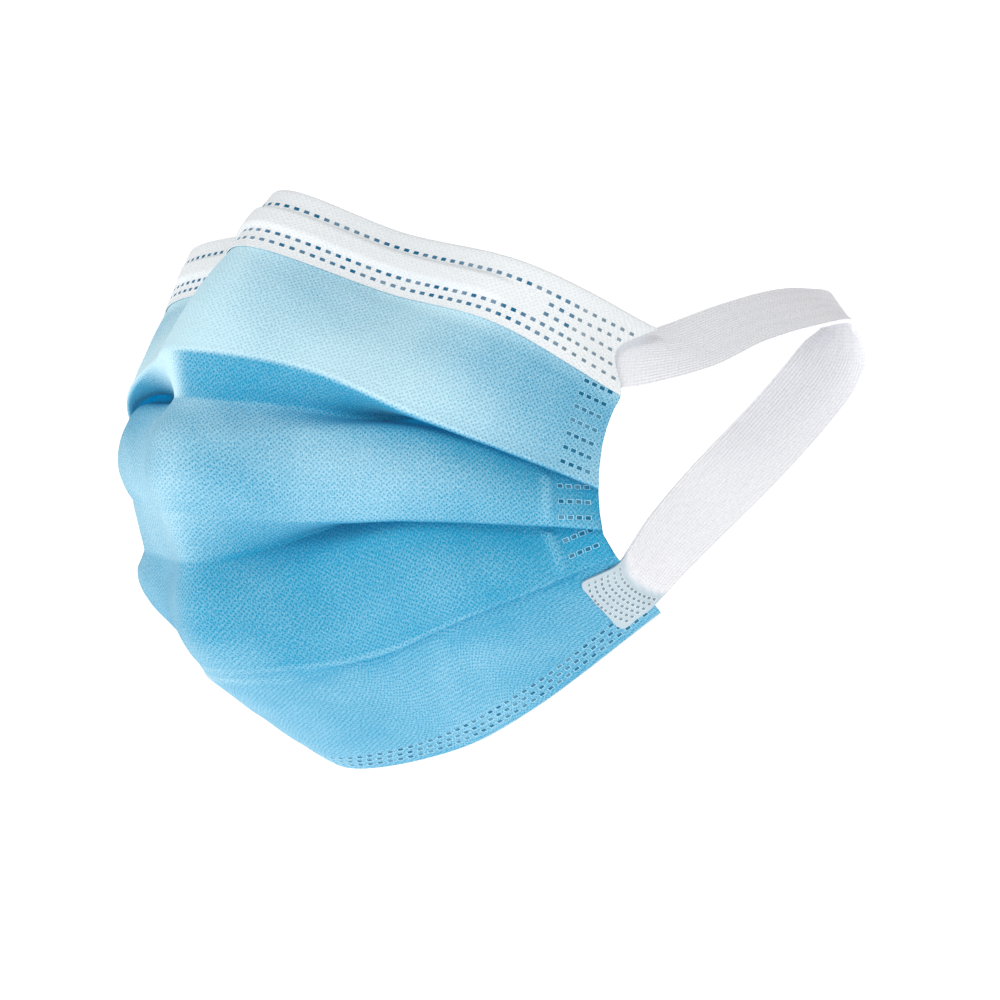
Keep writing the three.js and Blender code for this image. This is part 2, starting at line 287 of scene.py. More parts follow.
class MaskCloth(bpy.types.PropertyGroup):
    """Plies, binding and nose wire."""

    panel_wall: length_property("Outer ply", "Thickness of the blue outer ply", 0.3 * MM)
    lining_wall: length_property("Lining", "Thickness of the white lining", 0.25 * MM)
    lining_step: length_property("Lining step", "Distance of the lining behind the outer ply", 0.32 * MM)
    lining_show: length_property("Lining show", "How far the lining shows below the bottom edge", 0.7 * MM)
    binding_wall: length_property("Binding", "Thickness of the white binding", 0.25 * MM)
    binding_lift: length_property("Binding lift", "Distance of the binding off the outer ply", 0.45 * MM)
    binding_over: length_property("Binding over", "How far the binding stands over the top edge", 0.9 * MM)
    wire_thick: length_property("Nose wire", "Thickness of the flat nose wire", 0.6 * MM)
    wire_rise: length_property("Wire ridge", "How far the binding stands over the wire", 0.95 * MM)
    unevenness: length_property("Unevenness", "Height of the soft waves in the cloth", 0.22 * MM)
    pucker: length_property("Pucker", "Height of the pucker beside the side welds", 0.5 * MM)
    # Painted light and shade on the outer ply: pale blue where the painted light is full, deep blue in the
    # painted shade of the folds, through the strength of the painted glow in the creases, and the glint the
    # colour of the painted glints
    pale_blue: colour_property("Pale blue", "Colour of the outer ply where it lies open", "#CAEFFB")
    deep_blue: colour_property("Deep blue", "Colour of the outer ply inside the folds", "#0A94BE")
    through: FloatProperty(
        name="Through", description="Light that comes through the ply in the creases", default=0.38, min=0,
    )
    blue_painted_glint: colour_property("Glint", "Colour of the outer ply's bright fibres", "#DCF2FA")
    white: colour_property("White", "Colour of the lining and the binding", "#F0F4F6")
    grey: colour_property("Grey", "Colour of the white cloth's pressed dots", "#D5DCE2")


class MaskWelds(bpy.types.PropertyGroup):
    """Rows of weld marks."""

    pitch: length_property("Pitch", "Distance from one mark to the next along a row", 2.15 * MM)
    length: length_property("Length", "Length of a mark", 1.35 * MM)
    width: length_property("Width", "Width of a mark", 0.95 * MM)
    rim: length_property("Rim", "Height of the rim round a mark", 0.08 * MM)
    teal: colour_property("Teal", "Colour of a mark through the blue ply", "#0B668B")
    grey: colour_property("Grey", "Colour of a mark over the strap's end", "#748B98")
    white_rim: colour_property("White rim", "Colour of a mark's rim on white cloth", "#EEF2F4")
    blue_rim: colour_property("Blue rim", "Colour of a mark's rim on blue cloth", "#A6DBEF")


class MaskLoops(bpy.types.PropertyGroup):
    """Ear loops."""

    thick: length_property("Thickness", "Thickness of the elastic", 0.8 * MM)
    melted: length_property("Melted", "Thickness of the elastic where it is welded", 0.45 * MM)
    ribs: IntProperty(name="Ribs", description="Lengthwise ribs across the strap", default=22, min=1)
    rib_height: length_property("Rib height", "Height of a rib", 0.09 * MM)
    white: colour_property("White", "Colour of the knitted elastic", "#F4F4F8")
    tab: colour_property("Tab", "Colour of the welded end over the blue ply", "#B8C9D2")


def unit(ways):
    """Ways of length one."""
    return ways / np.maximum(np.linalg.norm(ways, axis=-1, keepdims=True), 1e-12)


def ease(values, start, end):
    """0 before start, 1 after end and smooth between them."""
    share = np.clip((values - start) / (end - start), 0, 1)
    return share * share * (3 - 2 * share)


def mix(start, end, share):
    """The value at a share of the way from start to end."""
    return start + (end - start) * share


def smooth(points, steps):
    """A centripetal Catmull-Rom curve through points, with a number of steps to each stretch."""
    padded = np.concatenate([[2 * points[0] - points[1]], points, [2 * points[-1] - points[-2]]])
    gaps = np.sqrt(np.maximum(np.linalg.norm(np.diff(padded, axis=0), axis=-1, keepdims=True), 1e-9))
    made = []
    for k, count in enumerate(steps):
        before, start, end, after = padded[k:k + 4]
        first, middle, last = gaps[k:k + 3]
        leave = ((start - before) / first - (end - before) / (first + middle)) * middle + end - start
        arrive = ((after - end) / last - (after - start) / (middle + last)) * middle + end - start
        for t in np.arange(count) / count:
            made.append(
                start * (2 * t**3 - 3 * t**2 + 1)
                + leave * (t**3 - 2 * t**2 + t)
                + end * (3 * t**2 - 2 * t**3)
                + arrive * (t**3 - t**2)
            )
    return np.array([*made, points[-1]])


def mean_way(points, axis):
    """The way along one axis of a grid of points, the mean of the steps before and after each point."""
    steps = np.moveaxis(unit(np.diff(points, axis=axis)), axis, 0)
    return np.moveaxis(unit(np.concatenate([steps[:1], steps[1:] + steps[:-1], steps[-1:]])), 0, axis)


def wide_way(points):
    """The way along a line, taken over a wide span so that it turns slowly round a sharp nose."""
    at = np.arange(len(points))
    before = np.maximum(at - WAY_SPAN, 0)
    after = np.minimum(at + WAY_SPAN, len(points) - 1)
    return unit(points[after] - points[before])


class Cloth:
    """A grid of points, rows down and columns across, with its way out and its lengths down."""

    def __init__(self, points, width):
        self.points = points
        self.width = width
        self.out = unit(np.cross(mean_way(points, 0), mean_way(points, 1)))
        steps = np.linalg.norm(np.diff(points, axis=0), axis=-1)
        self.down = np.concatenate([np.zeros((1, points.shape[1])), np.cumsum(steps, axis=0)])
        self.across = np.broadcast_to(np.linspace(0, width, points.shape[1]), self.down.shape)

    def spot(self, across, down, height=0):
        """The point at lengths across and down the cloth and a height off it, and the way out there."""
        column = min(max(across / self.width, 0), 1) * (self.points.shape[1] - 1)
        first = min(int(column), self.points.shape[1] - 2)
        at = np.zeros(3)
        out = np.zeros(3)
        for k, weight in ((first, first + 1 - column), (first + 1, column - first)):
            row = np.interp(down, self.down[:, k], np.arange(len(self.down)))
            r = min(int(row), len(self.down) - 2)
            at += weight * mix(self.points[r, k], self.points[r + 1, k], row - r)
            out += weight * mix(self.out[r, k], self.out[r + 1, k], row - r)
        out = unit(out)
        return at + out * height, out

    def lift(self, height):
        """The points of the cloth moved out by a height."""
        return self.points + self.out * height


def mask_cloth(settings):
    """The outer ply's middle surface, the row of each line on it, and its painted light and shade, 1 where
    it lies open.
    """
    shares = np.linspace(0, 1, COLUMNS)
    side = (2 * shares - 1)[:, None]
    reach = np.abs(side)
    fade = 1 - reach**SWELL_FADE
    line = {}
    way = {}
    for name, half in LINES.items():
        half = np.array(half) * MM
        curve = smooth(np.concatenate([half[:0:-1] * (-1, 1, 1), half]), [LINE_STEPS] * 6)
        lengths = np.concatenate([[0], np.cumsum(np.linalg.norm(np.diff(curve, axis=0), axis=-1))])
        at = shares * lengths[-1]
        line[name] = np.stack([np.interp(at, lengths, curve[:, k]) for k in range(3)], axis=-1)
        way[name] = mean_way(line[name], 0)
    rows = []

    def add(name, points, tone):
        rows.append((name, points, np.broadcast_to(tone, reach.shape)[:, 0]))

    def band(start, end, out, swell, tone, rim, edge, dimmed, hollow):
        for share in BAND_ROWS:
            arch = 4 * share * (1 - share)
            points = mix(start, end, share) + out * arch * swell * fade - outward * arch * hollow
            add("", points, mix(tone, rim, ease(share, *RIM_FROM)) * below(points, edge, dimmed))

    def below(points, edge, dimmed):
        return mix(dimmed, 1, ease(np.linalg.norm(points - edge, axis=-1, keepdims=True), 0, TONE_DEPTH))

    start = line["binding"]
    add("top edge", line["top edge"], 1)
    drawn_in = way["binding"] * np.sign(side) * END_HOLLOW * ease(reach, *END_FROM)
    add("", (line["top edge"] + start) / 2 - drawn_in, 1)
    add("binding", start, 1)
    swell, hollow, edge, dimmed = BROW_SWELL, SIDE_HOLLOW, start, 1
    # Painted shade on the brow: darker away from the middle of the front, and darker again towards the ends
    middle, beside, end = BROW_SHADES
    tone = mix(middle, beside, ease(reach, *BROW_FROM)) * mix(1, end, ease(reach, *BROW_END))
    for pleat in PLEATS:
        ridge = line[pleat["ridge"]]
        down = unit(ridge - start)
        out = unit(np.cross(down, wide_way(ridge)))
        outward = wide_way(ridge) * np.sign(side) * ease(reach, *END_FROM)
        tones = PAINTED_PLEAT_SHADES[pleat["ridge"]]
        rim = mix(*tones["rim"], ease(reach, *tones["turns"]))
        band(start, ridge, out, swell, tone, rim, edge, dimmed, hollow)
        left, right = pleat["closes"]
        shut = np.where(side < 0, ease(reach, *right), ease(reach, *left))
        angle = np.arccos(mix(math.cos(math.radians(pleat["turn"])), -1, shut))
        length = mix(pleat["open"] * MM, FOLD_LENGTH, shut)

        def turn(a, along, inward):
            return down * along * np.cos(a) - out * inward * np.sin(a)

        ridge_in = ridge + turn(angle / 2, PLY_STEP, PLY_STEP)
        valley = ridge_in + turn(angle, length, pleat["inward"] * MM) - outward * hollow * shut
        valley_in = valley + turn((angle - LEAVE_ANGLE) / 2, PLY_STEP, PLY_STEP)
        below_it = line[pleat["next"]]
        run = pleat["run"]
        leave_out = unit(np.cross(unit(below_it - valley_in), wide_way(below_it)))
        bulge = 4 * run * (1 - run) * pleat["swell"] * MM * fade
        leave_open = mix(valley_in, below_it, run) + leave_out * bulge
        leave_shut = ridge - out * 2 * PLY_STEP + down * PLY_STEP + outward * SIDE_FLUSH
        leave = mix(leave_open, leave_shut, shut)
        # Painted shade and highlight about the pleat: on the ridge, inside the fold, in the crease and below
        # it
        add(pleat["ridge"], ridge, np.maximum(rim, tones["lip"]))
        folded = ease(angle, *tones["folds"])
        inside = mix(*reversed(tones["fold"]), ease(side, *HALVES))
        face = mix(inside, tones["shade"], ease(angle, *LAP_TURN))
        tone = mix(*tones["below"], ease(reach, *SIDE_FROM)) * mix(tones["far"], 1, ease(side, *HALVES))
        dimmed = mix(1, tones["shade"] / tone, ease(angle, *tones["dims"]))
        edge = mix(valley_in, leave, shut)
        crease = mix(1, tones["crease"], ease(angle, *CREASE_TURN))
        inner = mix((rim + tone) / 2, face, folded)
        add("", ridge_in, mix(rim, face, folded))
        if tones["crease"] < 1:
            add("", mix(ridge_in, valley, 1 - CREASE_SHARE), inner)
        add("", valley, inner * crease)
        add("", valley_in, tone * dimmed * crease)
        if tones["crease"] < 1:
            add("", mix(valley_in, leave, CREASE_SHARE), tone * dimmed)
        add("below " + pleat["ridge"], leave, tone * below(leave, edge, dimmed))
        start, hollow = leave, 0
        swell = pleat["swell"] * MM * mix((1 - run) ** 2, 1, shut)
    bottom = line["bottom edge"]
    out = unit(np.cross(unit(bottom - start), way["bottom edge"]))
    band(start, bottom, out, swell, tone, tone, edge, dimmed, 0)
    add("bottom edge", bottom, tone)
    keys = np.array([points for _, points, _ in rows])
    spans = np.linalg.norm(np.diff(keys, axis=0), axis=-1).mean(axis=1)
    steps = [max(FOLD_STEPS if span < 2 * PLY_STEP else 2, round(span / ROW_PITCH)) for span in spans]
    starts = np.concatenate([[0], np.cumsum(steps)])
    marks = {name: int(at) for (name, _, _), at in zip(rows, starts) if name}
    cloth = Cloth(smooth(keys, steps), CLOTH_WIDTH)
    at = np.arange(starts[-1] + 1)
    painted_shading = np.array([np.interp(at, starts, [t[k] for _, _, t in rows]) for k in range(COLUMNS)]).T
    heights, pucker = soft_waves(cloth, marks, settings)
    up = cloth.down[-1] - cloth.down
    hem = ease(up, *HEM_BAND[:2]) * (1 - ease(up, *HEM_BAND[2:]))
    # Painted shade in the crease from the pinch, a painted highlight along the pucker, and a lighter band
    # along the hem
    painted_shading = painted_shading * painted_pinch_shade(cloth, marks) + pucker * PUCKER_HIGHLIGHT + hem * HEM_TONE
    return Cloth(cloth.lift(heights[..., None]), CLOTH_WIDTH), marks, painted_shading


def painted_pinch_shade(cloth, marks):
    """Share of the tone left by the painted shade of a shallow crease that runs down from the pinch in the
    first pleat, a crease that the cloth's shape does not have.
    """
    top, bottom = cloth.down[marks["ridge 1"]], cloth.down[marks["ridge 2"]]
    share = (cloth.down - top) / np.maximum(bottom - top, ROW_PITCH)
    aside = 2 * cloth.across / CLOTH_WIDTH - 1 - mix(*PINCH_LINE, share)
    within = ease(share, *PINCH_FROM) * (1 - ease(share, *PINCH_TO))
    return 1 - PINCH_SHADE * np.exp(-((aside / PINCH_WIDTH) ** 2)) * within


def soft_waves(cloth, marks, settings):
    """Heights of the soft waves that handling leaves in the cloth, and the pucker beside the side welds."""
    rows, columns = cloth.down.shape
    heights = np.zeros((rows, columns))
    for r in range(rows):
        for c in range(columns):
            at = Vector((cloth.across[r, c] / WAVE_WIDTH, cloth.down[r, c] / WAVE_HEIGHT, WAVE_SEED))
            heights[r, c] = noise.fractal(at, *WAVE_ROUGHNESS)
    total = cloth.down[-1]
    edge = np.minimum(cloth.across, CLOTH_WIDTH - cloth.across)
    fade = ease(cloth.down, *WAVE_TOP) * ease(total - cloth.down, *WAVE_BOTTOM) * ease(edge, *WAVE_SIDE)
    pucker = np.exp(-(((edge - PUCKER_INSET) / PUCKER_WIDTH) ** 2))
    for top, bottom in (("below ridge 1", "ridge 2"), ("below ridge 2", "ridge 3")):
        first, last = cloth.down[marks[top]], cloth.down[marks[bottom]]
        share = (cloth.down - first) / np.maximum(last - first, PUCKER_WIDTH)
        pucker = np.where((share > 0) & (share < 1), pucker * (1 - share**PUCKER_FADE), pucker)
    within = (np.arange(rows) > marks["below ridge 1"]) & (np.arange(rows) < marks["ridge 3"])
    folded = (np.arange(rows) >= marks["ridge 2"]) & (np.arange(rows) <= marks["below ridge 2"])
    pucker = pucker * (within & ~folded)[:, None]
    return heights * fade * settings.cloth.unevenness + pucker * settings.cloth.pucker, pucker


def openness(cloth):
    """How openly each point of the cloth lies to the light from above and in front, from 0 to 1, for the
    painted light and shade of the outer ply.
    """
    rows, columns = cloth.down.shape
    grid = np.arange(rows * columns).reshape(rows, columns)
    faces = np.stack([grid[:-1, :-1], grid[1:, :-1], grid[1:, 1:], grid[:-1, 1:]], axis=-1).reshape(-1, 4)
    tree = BVHTree.FromPolygons(cloth.points.reshape(-1, 3).tolist(), faces.tolist())
    turn = math.pi * (3 - math.sqrt(5))
    ways = []
    for k in range(LIGHT_WAYS):
        z = 1 - (2 * k + 1) / LIGHT_WAYS
        flat = math.sqrt(1 - z * z)
        ways.append((flat * math.cos(turn * k), flat * math.sin(turn * k), z))
    ways = np.array(ways)
    weights = (0.5 + 0.5 * ways @ np.array(LIGHT_WAY.normalized())) ** LIGHT_FOCUS
    picked_rows = np.unique(np.append(np.arange(0, rows, LIGHT_STRIDE), rows - 1))
    picked_columns = np.unique(np.append(np.arange(0, columns, LIGHT_STRIDE), columns - 1))
    found = np.zeros((len(picked_rows), len(picked_columns)))
    for i, r in enumerate(picked_rows):
        for j, c in enumerate(picked_columns):
            out = cloth.out[r, c]
            start = Vector(cloth.points[r, c] + out * LIGHT_CLEAR)
            facing = ways @ out
            for k in np.nonzero(facing > 0)[0]:
                if tree.ray_cast(start, Vector(ways[k]), LIGHT_REACH)[0] is None:
                    found[i, j] += facing[k] * weights[k]
    found /= np.sum(weights * np.maximum(ways @ np.array(LIGHT_WAY.normalized()), 0))
    down = np.array([np.interp(np.arange(rows), picked_rows, column) for column in found.T]).T
    return np.array([np.interp(np.arange(columns), picked_columns, row) for row in down])


def plain_mesh(name, points, faces, uv=None, attributes=None):
    """A mesh from points and faces, faces turned outwards, with a UV map and point attributes."""
    points = np.asarray(points, float).reshape(-1, 3)
    faces = np.asarray(faces)
    a, b, c = (points[faces[:, k]] for k in (0, 1, 2))
    d = points[faces[:, 3]]
    volume = np.sum(a * np.cross(b, c)) + np.sum(a * np.cross(c, d))
    if volume < 0:
        faces = faces[:, ::-1]
    mesh = bpy.data.meshes.new(name)
    mesh.from_pydata(points.tolist(), [], faces.tolist())
    mesh.shade_smooth()
    if uv is not None:
        corners = np.zeros(len(mesh.loops), int)
        mesh.loops.foreach_get("vertex_index", corners)
        layer = mesh.uv_layers.new(name="Cloth")
        layer.data.foreach_set("uv", np.asarray(uv, np.float32).reshape(-1, 2)[corners].ravel())
    for key, values in (attributes or {}).items():
        made = mesh.attributes.new(key, "FLOAT", "POINT")
        made.data.foreach_set("value", np.asarray(values, np.float32).ravel())
    return mesh


def wall_mesh(name, cloth, thickness, middle=0, attributes=None):
    """A closed wall about a cloth, of a thickness that may differ from point to point."""
    rows, columns = cloth.down.shape
    half = np.broadcast_to(np.asarray(thickness) / 2, cloth.down.shape)[..., None]
    front = cloth.lift(middle + half)
    back = cloth.lift(middle - half)
    grid = np.arange(rows * columns).reshape(rows, columns)
    behind = grid + rows * columns

    def quads(a, b, c, d):
        return np.stack([a, b, c, d], axis=-1).reshape(-1, 4)

    rim = np.concatenate([grid[0, :-1], grid[:-1, -1], grid[-1, :0:-1], grid[:0:-1, 0]])
    rim_on = np.roll(rim, -1)
    offset = rows * columns
    faces = np.concatenate([
        quads(grid[:-1, :-1], grid[1:, :-1], grid[1:, 1:], grid[:-1, 1:]),
        quads(behind[:-1, :-1], behind[:-1, 1:], behind[1:, 1:], behind[1:, :-1]),
        quads(rim, rim_on, rim_on + offset, rim + offset),
    ])
    uv = np.stack([cloth.across, cloth.down], axis=-1)
    doubled = {key: np.concatenate([values.ravel()] * 2) for key, values in (attributes or {}).items()}
    points = np.concatenate([front.reshape(-1, 3), back.reshape(-1, 3)])
    mesh = plain_mesh(name, points, faces, np.concatenate([uv, uv]), doubled)
    mesh.set_sharp_from_angle(angle=SHARP_EDGE)
    return mesh


def place(name, mesh, material=None):
    """An object at the origin with a mesh and its material."""
    made = bpy.data.objects.new(name, mesh)
    bpy.context.scene.collection.objects.link(made)
    if material is not None:
        mesh.materials.clear()
        mesh.materials.append(material)
    return made


def node(tree, kind, inputs=None, **settings):
    """Adds a node with its settings, and sets or links its inputs by name or number."""
    made = tree.nodes.new(kind)
    for key, value in settings.items():
        setattr(made, key, value)
    for key, value in (inputs or {}).items():
        for source in value if isinstance(value, list) else [value]:
            if isinstance(source, bpy.types.NodeSocket):
                tree.links.new(source, made.inputs[key])
            else:
                made.inputs[key].default_value = source
    return made


def new_material(name):
    """An empty material and its tree."""
    made = bpy.data.materials.new(name)
    made.use_nodes = True
    made.node_tree.nodes.clear()
    return made, made.node_tree


def maths(tree, operation, *values):
    """The result of a sum on values or sockets."""
    return node(tree, "ShaderNodeMath", dict(enumerate(values)), operation=operation).outputs[0]


def blend(tree, share, start, end):
    """The colour at a share of the way from one colour to another."""
    colours = [(*c, 1) if isinstance(c, tuple) else c for c in (start, end)]
    return node(tree, "ShaderNodeMix", {0: share, 6: colours[0], 7: colours[1]}, data_type="RGBA").outputs[2]


def ramp(tree, value, start, end, low, high, **settings):
    """A value's range from start to end, mapped to the range from low to high."""
    inputs = dict(enumerate((value, start, end, low, high)))
    return node(tree, "ShaderNodeMapRange", inputs, **settings).outputs[0]


def attribute(tree, name):
    """A point attribute of the mesh."""
    return node(tree, "ShaderNodeAttribute", attribute_name=name).outputs["Fac"]


def cloth_uv(tree):
    """Lengths across and down the cloth, in metres."""
    return node(tree, "ShaderNodeUVMap", uv_map="Cloth").outputs["UV"]


def speckle(tree, place_on, size, detail, dimensions="2D", roughness=0.5):
    """Noise with spots of a size, in the units of the place."""
    inputs = {"Vector": place_on, "Scale": 1 / size, "Detail": detail, "Roughness": roughness}
    return node(tree, "ShaderNodeTexNoise", inputs, noise_dimensions=dimensions).outputs[0]


def cells(tree, place_on, unevenness):
    """Distance from the middle of the nearest cell of a slightly uneven grid, one unit wide."""
    inputs = {"Vector": place_on, "Scale": 1, "Randomness": unevenness}
    return node(tree, "ShaderNodeTexVoronoi", inputs, voronoi_dimensions="2D").outputs["Distance"]


def surface(tree, inputs):
    """Ends a material with its surface."""
    shader = node(tree, "ShaderNodeBsdfPrincipled", inputs)
    node(tree, "ShaderNodeOutputMaterial", {"Surface": shader.outputs[0]})


def spunbond(name, pale, deep, glint, through):
    """Spunbond polypropylene: matte web of fine fibres, bonded by a staggered grid of pressed dots, with
    painted glints on the fibres between them, more where painted light falls. Painted light and shade: it is
    pale where it lies open to the light and deeper in tone inside the folds, where shade falls, and the
    creases get a painted glow of the deep colour."""
    material, tree = new_material(name)
    dot_pitch = 0.76 * MM
    dot_radii = (0.08, 0.38)
    dot_tone = -0.3
    fibre_width = 0.18 * MM
    fibre_turn = 0.6
    fibre_stretch = 0.35
    fibre_tone = (0.9, -0.41)
    fibre_height = 0.5
    fleck_size = 0.36 * MM
    fleck_range = (0.5, 0.74)
    fleck_open = (0, 0.6)
    fleck_share = (0.06, 0.42)
    cloud_size = 9 * MM
    cloud_tone = (0.16, -0.08)
    relief_depth = 0.14 * MM
    cloth = cloth_uv(tree)
    painted_light = attribute(tree, "open")
    grid = node(tree, "ShaderNodeMapping", {
        "Vector": cloth, "Rotation": (0, 0, math.radians(45)), "Scale": (1 / dot_pitch, 1 / dot_pitch, 1),
    })
    dot = ramp(tree, cells(tree, grid.outputs[0], 0.35), *dot_radii, 1, 0, interpolation_type="SMOOTHSTEP")
    stretched = node(tree, "ShaderNodeMapping", {
        "Vector": cloth, "Rotation": (0, 0, fibre_turn),
        "Scale": (1 / fibre_width, fibre_stretch / fibre_width, 1),
    })
    fibre = speckle(tree, stretched.outputs[0], 1, 3, roughness=0.6)
    fleck = speckle(tree, cloth, fleck_size, 2)
    cloud = speckle(tree, cloth, cloud_size, 2)
    uneven = maths(tree, "MULTIPLY_ADD", cloud, *cloud_tone)
    spun = maths(tree, "MULTIPLY_ADD", fibre, *fibre_tone)
    varied = maths(tree, "ADD", uneven, maths(tree, "MULTIPLY_ADD", dot, dot_tone, spun))
    # Painted light and shade: the painted light, with the fibres, dots and clouds, picks the colour between
    # the deep and the pale
    share = node(tree, "ShaderNodeMath", {0: painted_light, 1: varied}, operation="ADD", use_clamp=True)
    plain = blend(tree, share.outputs[0], deep, pale)
    # Painted glints: flecks of the glint colour, more of them where the painted light is stronger
    painted_glint = ramp(tree, fleck, *fleck_range, 0, ramp(tree, painted_light, *fleck_open, *fleck_share))
    relief = maths(tree, "SUBTRACT", maths(tree, "MULTIPLY", fibre, fibre_height), dot)
    bump = node(tree, "ShaderNodeBump", {"Height": relief, "Strength": 0.65, "Distance": relief_depth})
    surface(tree, {
        "Base Color": blend(tree, painted_glint, plain, glint), "Roughness": 0.72, "IOR": 1.49,
        "Specular IOR Level": 0.15, "Sheen Weight": 0.05, "Sheen Roughness": 0.5, "Normal": bump.outputs[0],
        # Painted glow: the creases that light hardly reaches glow with the deep colour
        "Emission Color": (*deep, 1),
        "Emission Strength": maths(tree, "MULTIPLY", attribute(tree, "hidden"), through),
    })
    return material


def melted_weld(name, floor, rim):
    """Melted polypropylene of an ultrasonic weld: a smooth dark pressed floor inside a pale raised rim."""
    material, tree = new_material(name)
    spot_size = 6 * MM
    spot_range = (0.42, 0.66)
    spot_share = (1, 0.78)
    mottle = speckle(tree, node(tree, "ShaderNodeTexCoord").outputs["Object"], spot_size, 1, "3D")
    patchy = ramp(tree, mottle, *spot_range, *spot_share)
    tone = blend(tree, maths(tree, "MULTIPLY", attribute(tree, "pressed"), patchy), rim, floor)
    surface(tree, {"Base Color": tone, "Roughness": 0.5, "IOR": 1.49, "Specular IOR Level": 0.2})
    return material


def knitted_elastic(name, colour, tab):
    """Knitted elastic: soft ribs of small stitches, melted smooth at its welded ends."""
    material, tree = new_material(name)
    stitch = 0.55 * MM
    stitch_stretch = 0.7
    stitch_range = (0.25, 0.75)
    stitch_shade = 0.7
    yarn_width = 0.4
    relief_depth = 0.15 * MM
    knit_rough, melt_rough = (0.85, 0.5)
    melt = attribute(tree, "melt")
    loops = node(tree, "ShaderNodeMapping", {
        "Vector": cloth_uv(tree), "Scale": (1 / stitch, stitch_stretch / stitch, 1),
    })
    knit = cells(tree, loops.outputs[0], 0.35)
    yarn = speckle(tree, loops.outputs[0], yarn_width, 2)
    dark = tuple(c * 0.8 for c in colour)
    knitted = blend(tree, ramp(tree, knit, *stitch_range, 0, stitch_shade), colour, dark)
    soft = ramp(tree, melt, 0, 1, 1, 0.25)
    height = maths(tree, "MULTIPLY", maths(tree, "SUBTRACT", yarn, knit), soft)
    bump = node(tree, "ShaderNodeBump", {"Height": height, "Strength": 0.45, "Distance": relief_depth})
    surface(tree, {
        "Base Color": blend(tree, attribute(tree, "tab"), knitted, tab),
        "Roughness": ramp(tree, melt, 0, 1, knit_rough, melt_rough), "IOR": 1.5, "Specular IOR Level": 0.25,
        "Sheen Weight": 0.15, "Sheen Roughness": 0.4, "Normal": bump.outputs[0],
    })
    return material


def coated_wire(name, colour):
    """Polyethylene-coated wire: smooth, even plastic with fine drawing lines."""
    material, tree = new_material(name)
    draw_line = 0.4 * MM
    lines = speckle(tree, node(tree, "ShaderNodeTexCoord").outputs["Object"], draw_line, 2, "3D")
    surface(tree, {
        "Base Color": (*colour, 1), "Roughness": ramp(tree, lines, 0, 1, 0.4, 0.55), "IOR": 1.5,
    })
    return material


def tree_with(name, lengths, others=()):
    """A Geometry Nodes tree with a geometry, named lengths, other inputs and a material."""
    tree = bpy.data.node_groups.new(name, "GeometryNodeTree")
    tree.interface.new_socket("Geometry", in_out="OUTPUT", socket_type="NodeSocketGeometry")
    tree.interface.new_socket("Geometry", in_out="INPUT", socket_type="NodeSocketGeometry")
    for key in lengths:
        tree.interface.new_socket(key, in_out="INPUT", socket_type="NodeSocketFloat")
    for key, kind in others:
        tree.interface.new_socket(key, in_out="INPUT", socket_type=kind)
    tree.interface.new_socket("Material", in_out="INPUT", socket_type="NodeSocketMaterial")
    return tree, node(tree, "NodeGroupInput").outputs


def end_tree(tree, geometry, material):
    """Ends a tree: instances made real, with their material."""
    real = node(tree, "GeometryNodeRealizeInstances", {0: geometry})
    dressed = node(tree, "GeometryNodeSetMaterial", {0: real.outputs[0], "Material": material})
    node(tree, "NodeGroupOutput", {0: dressed.outputs[0]})


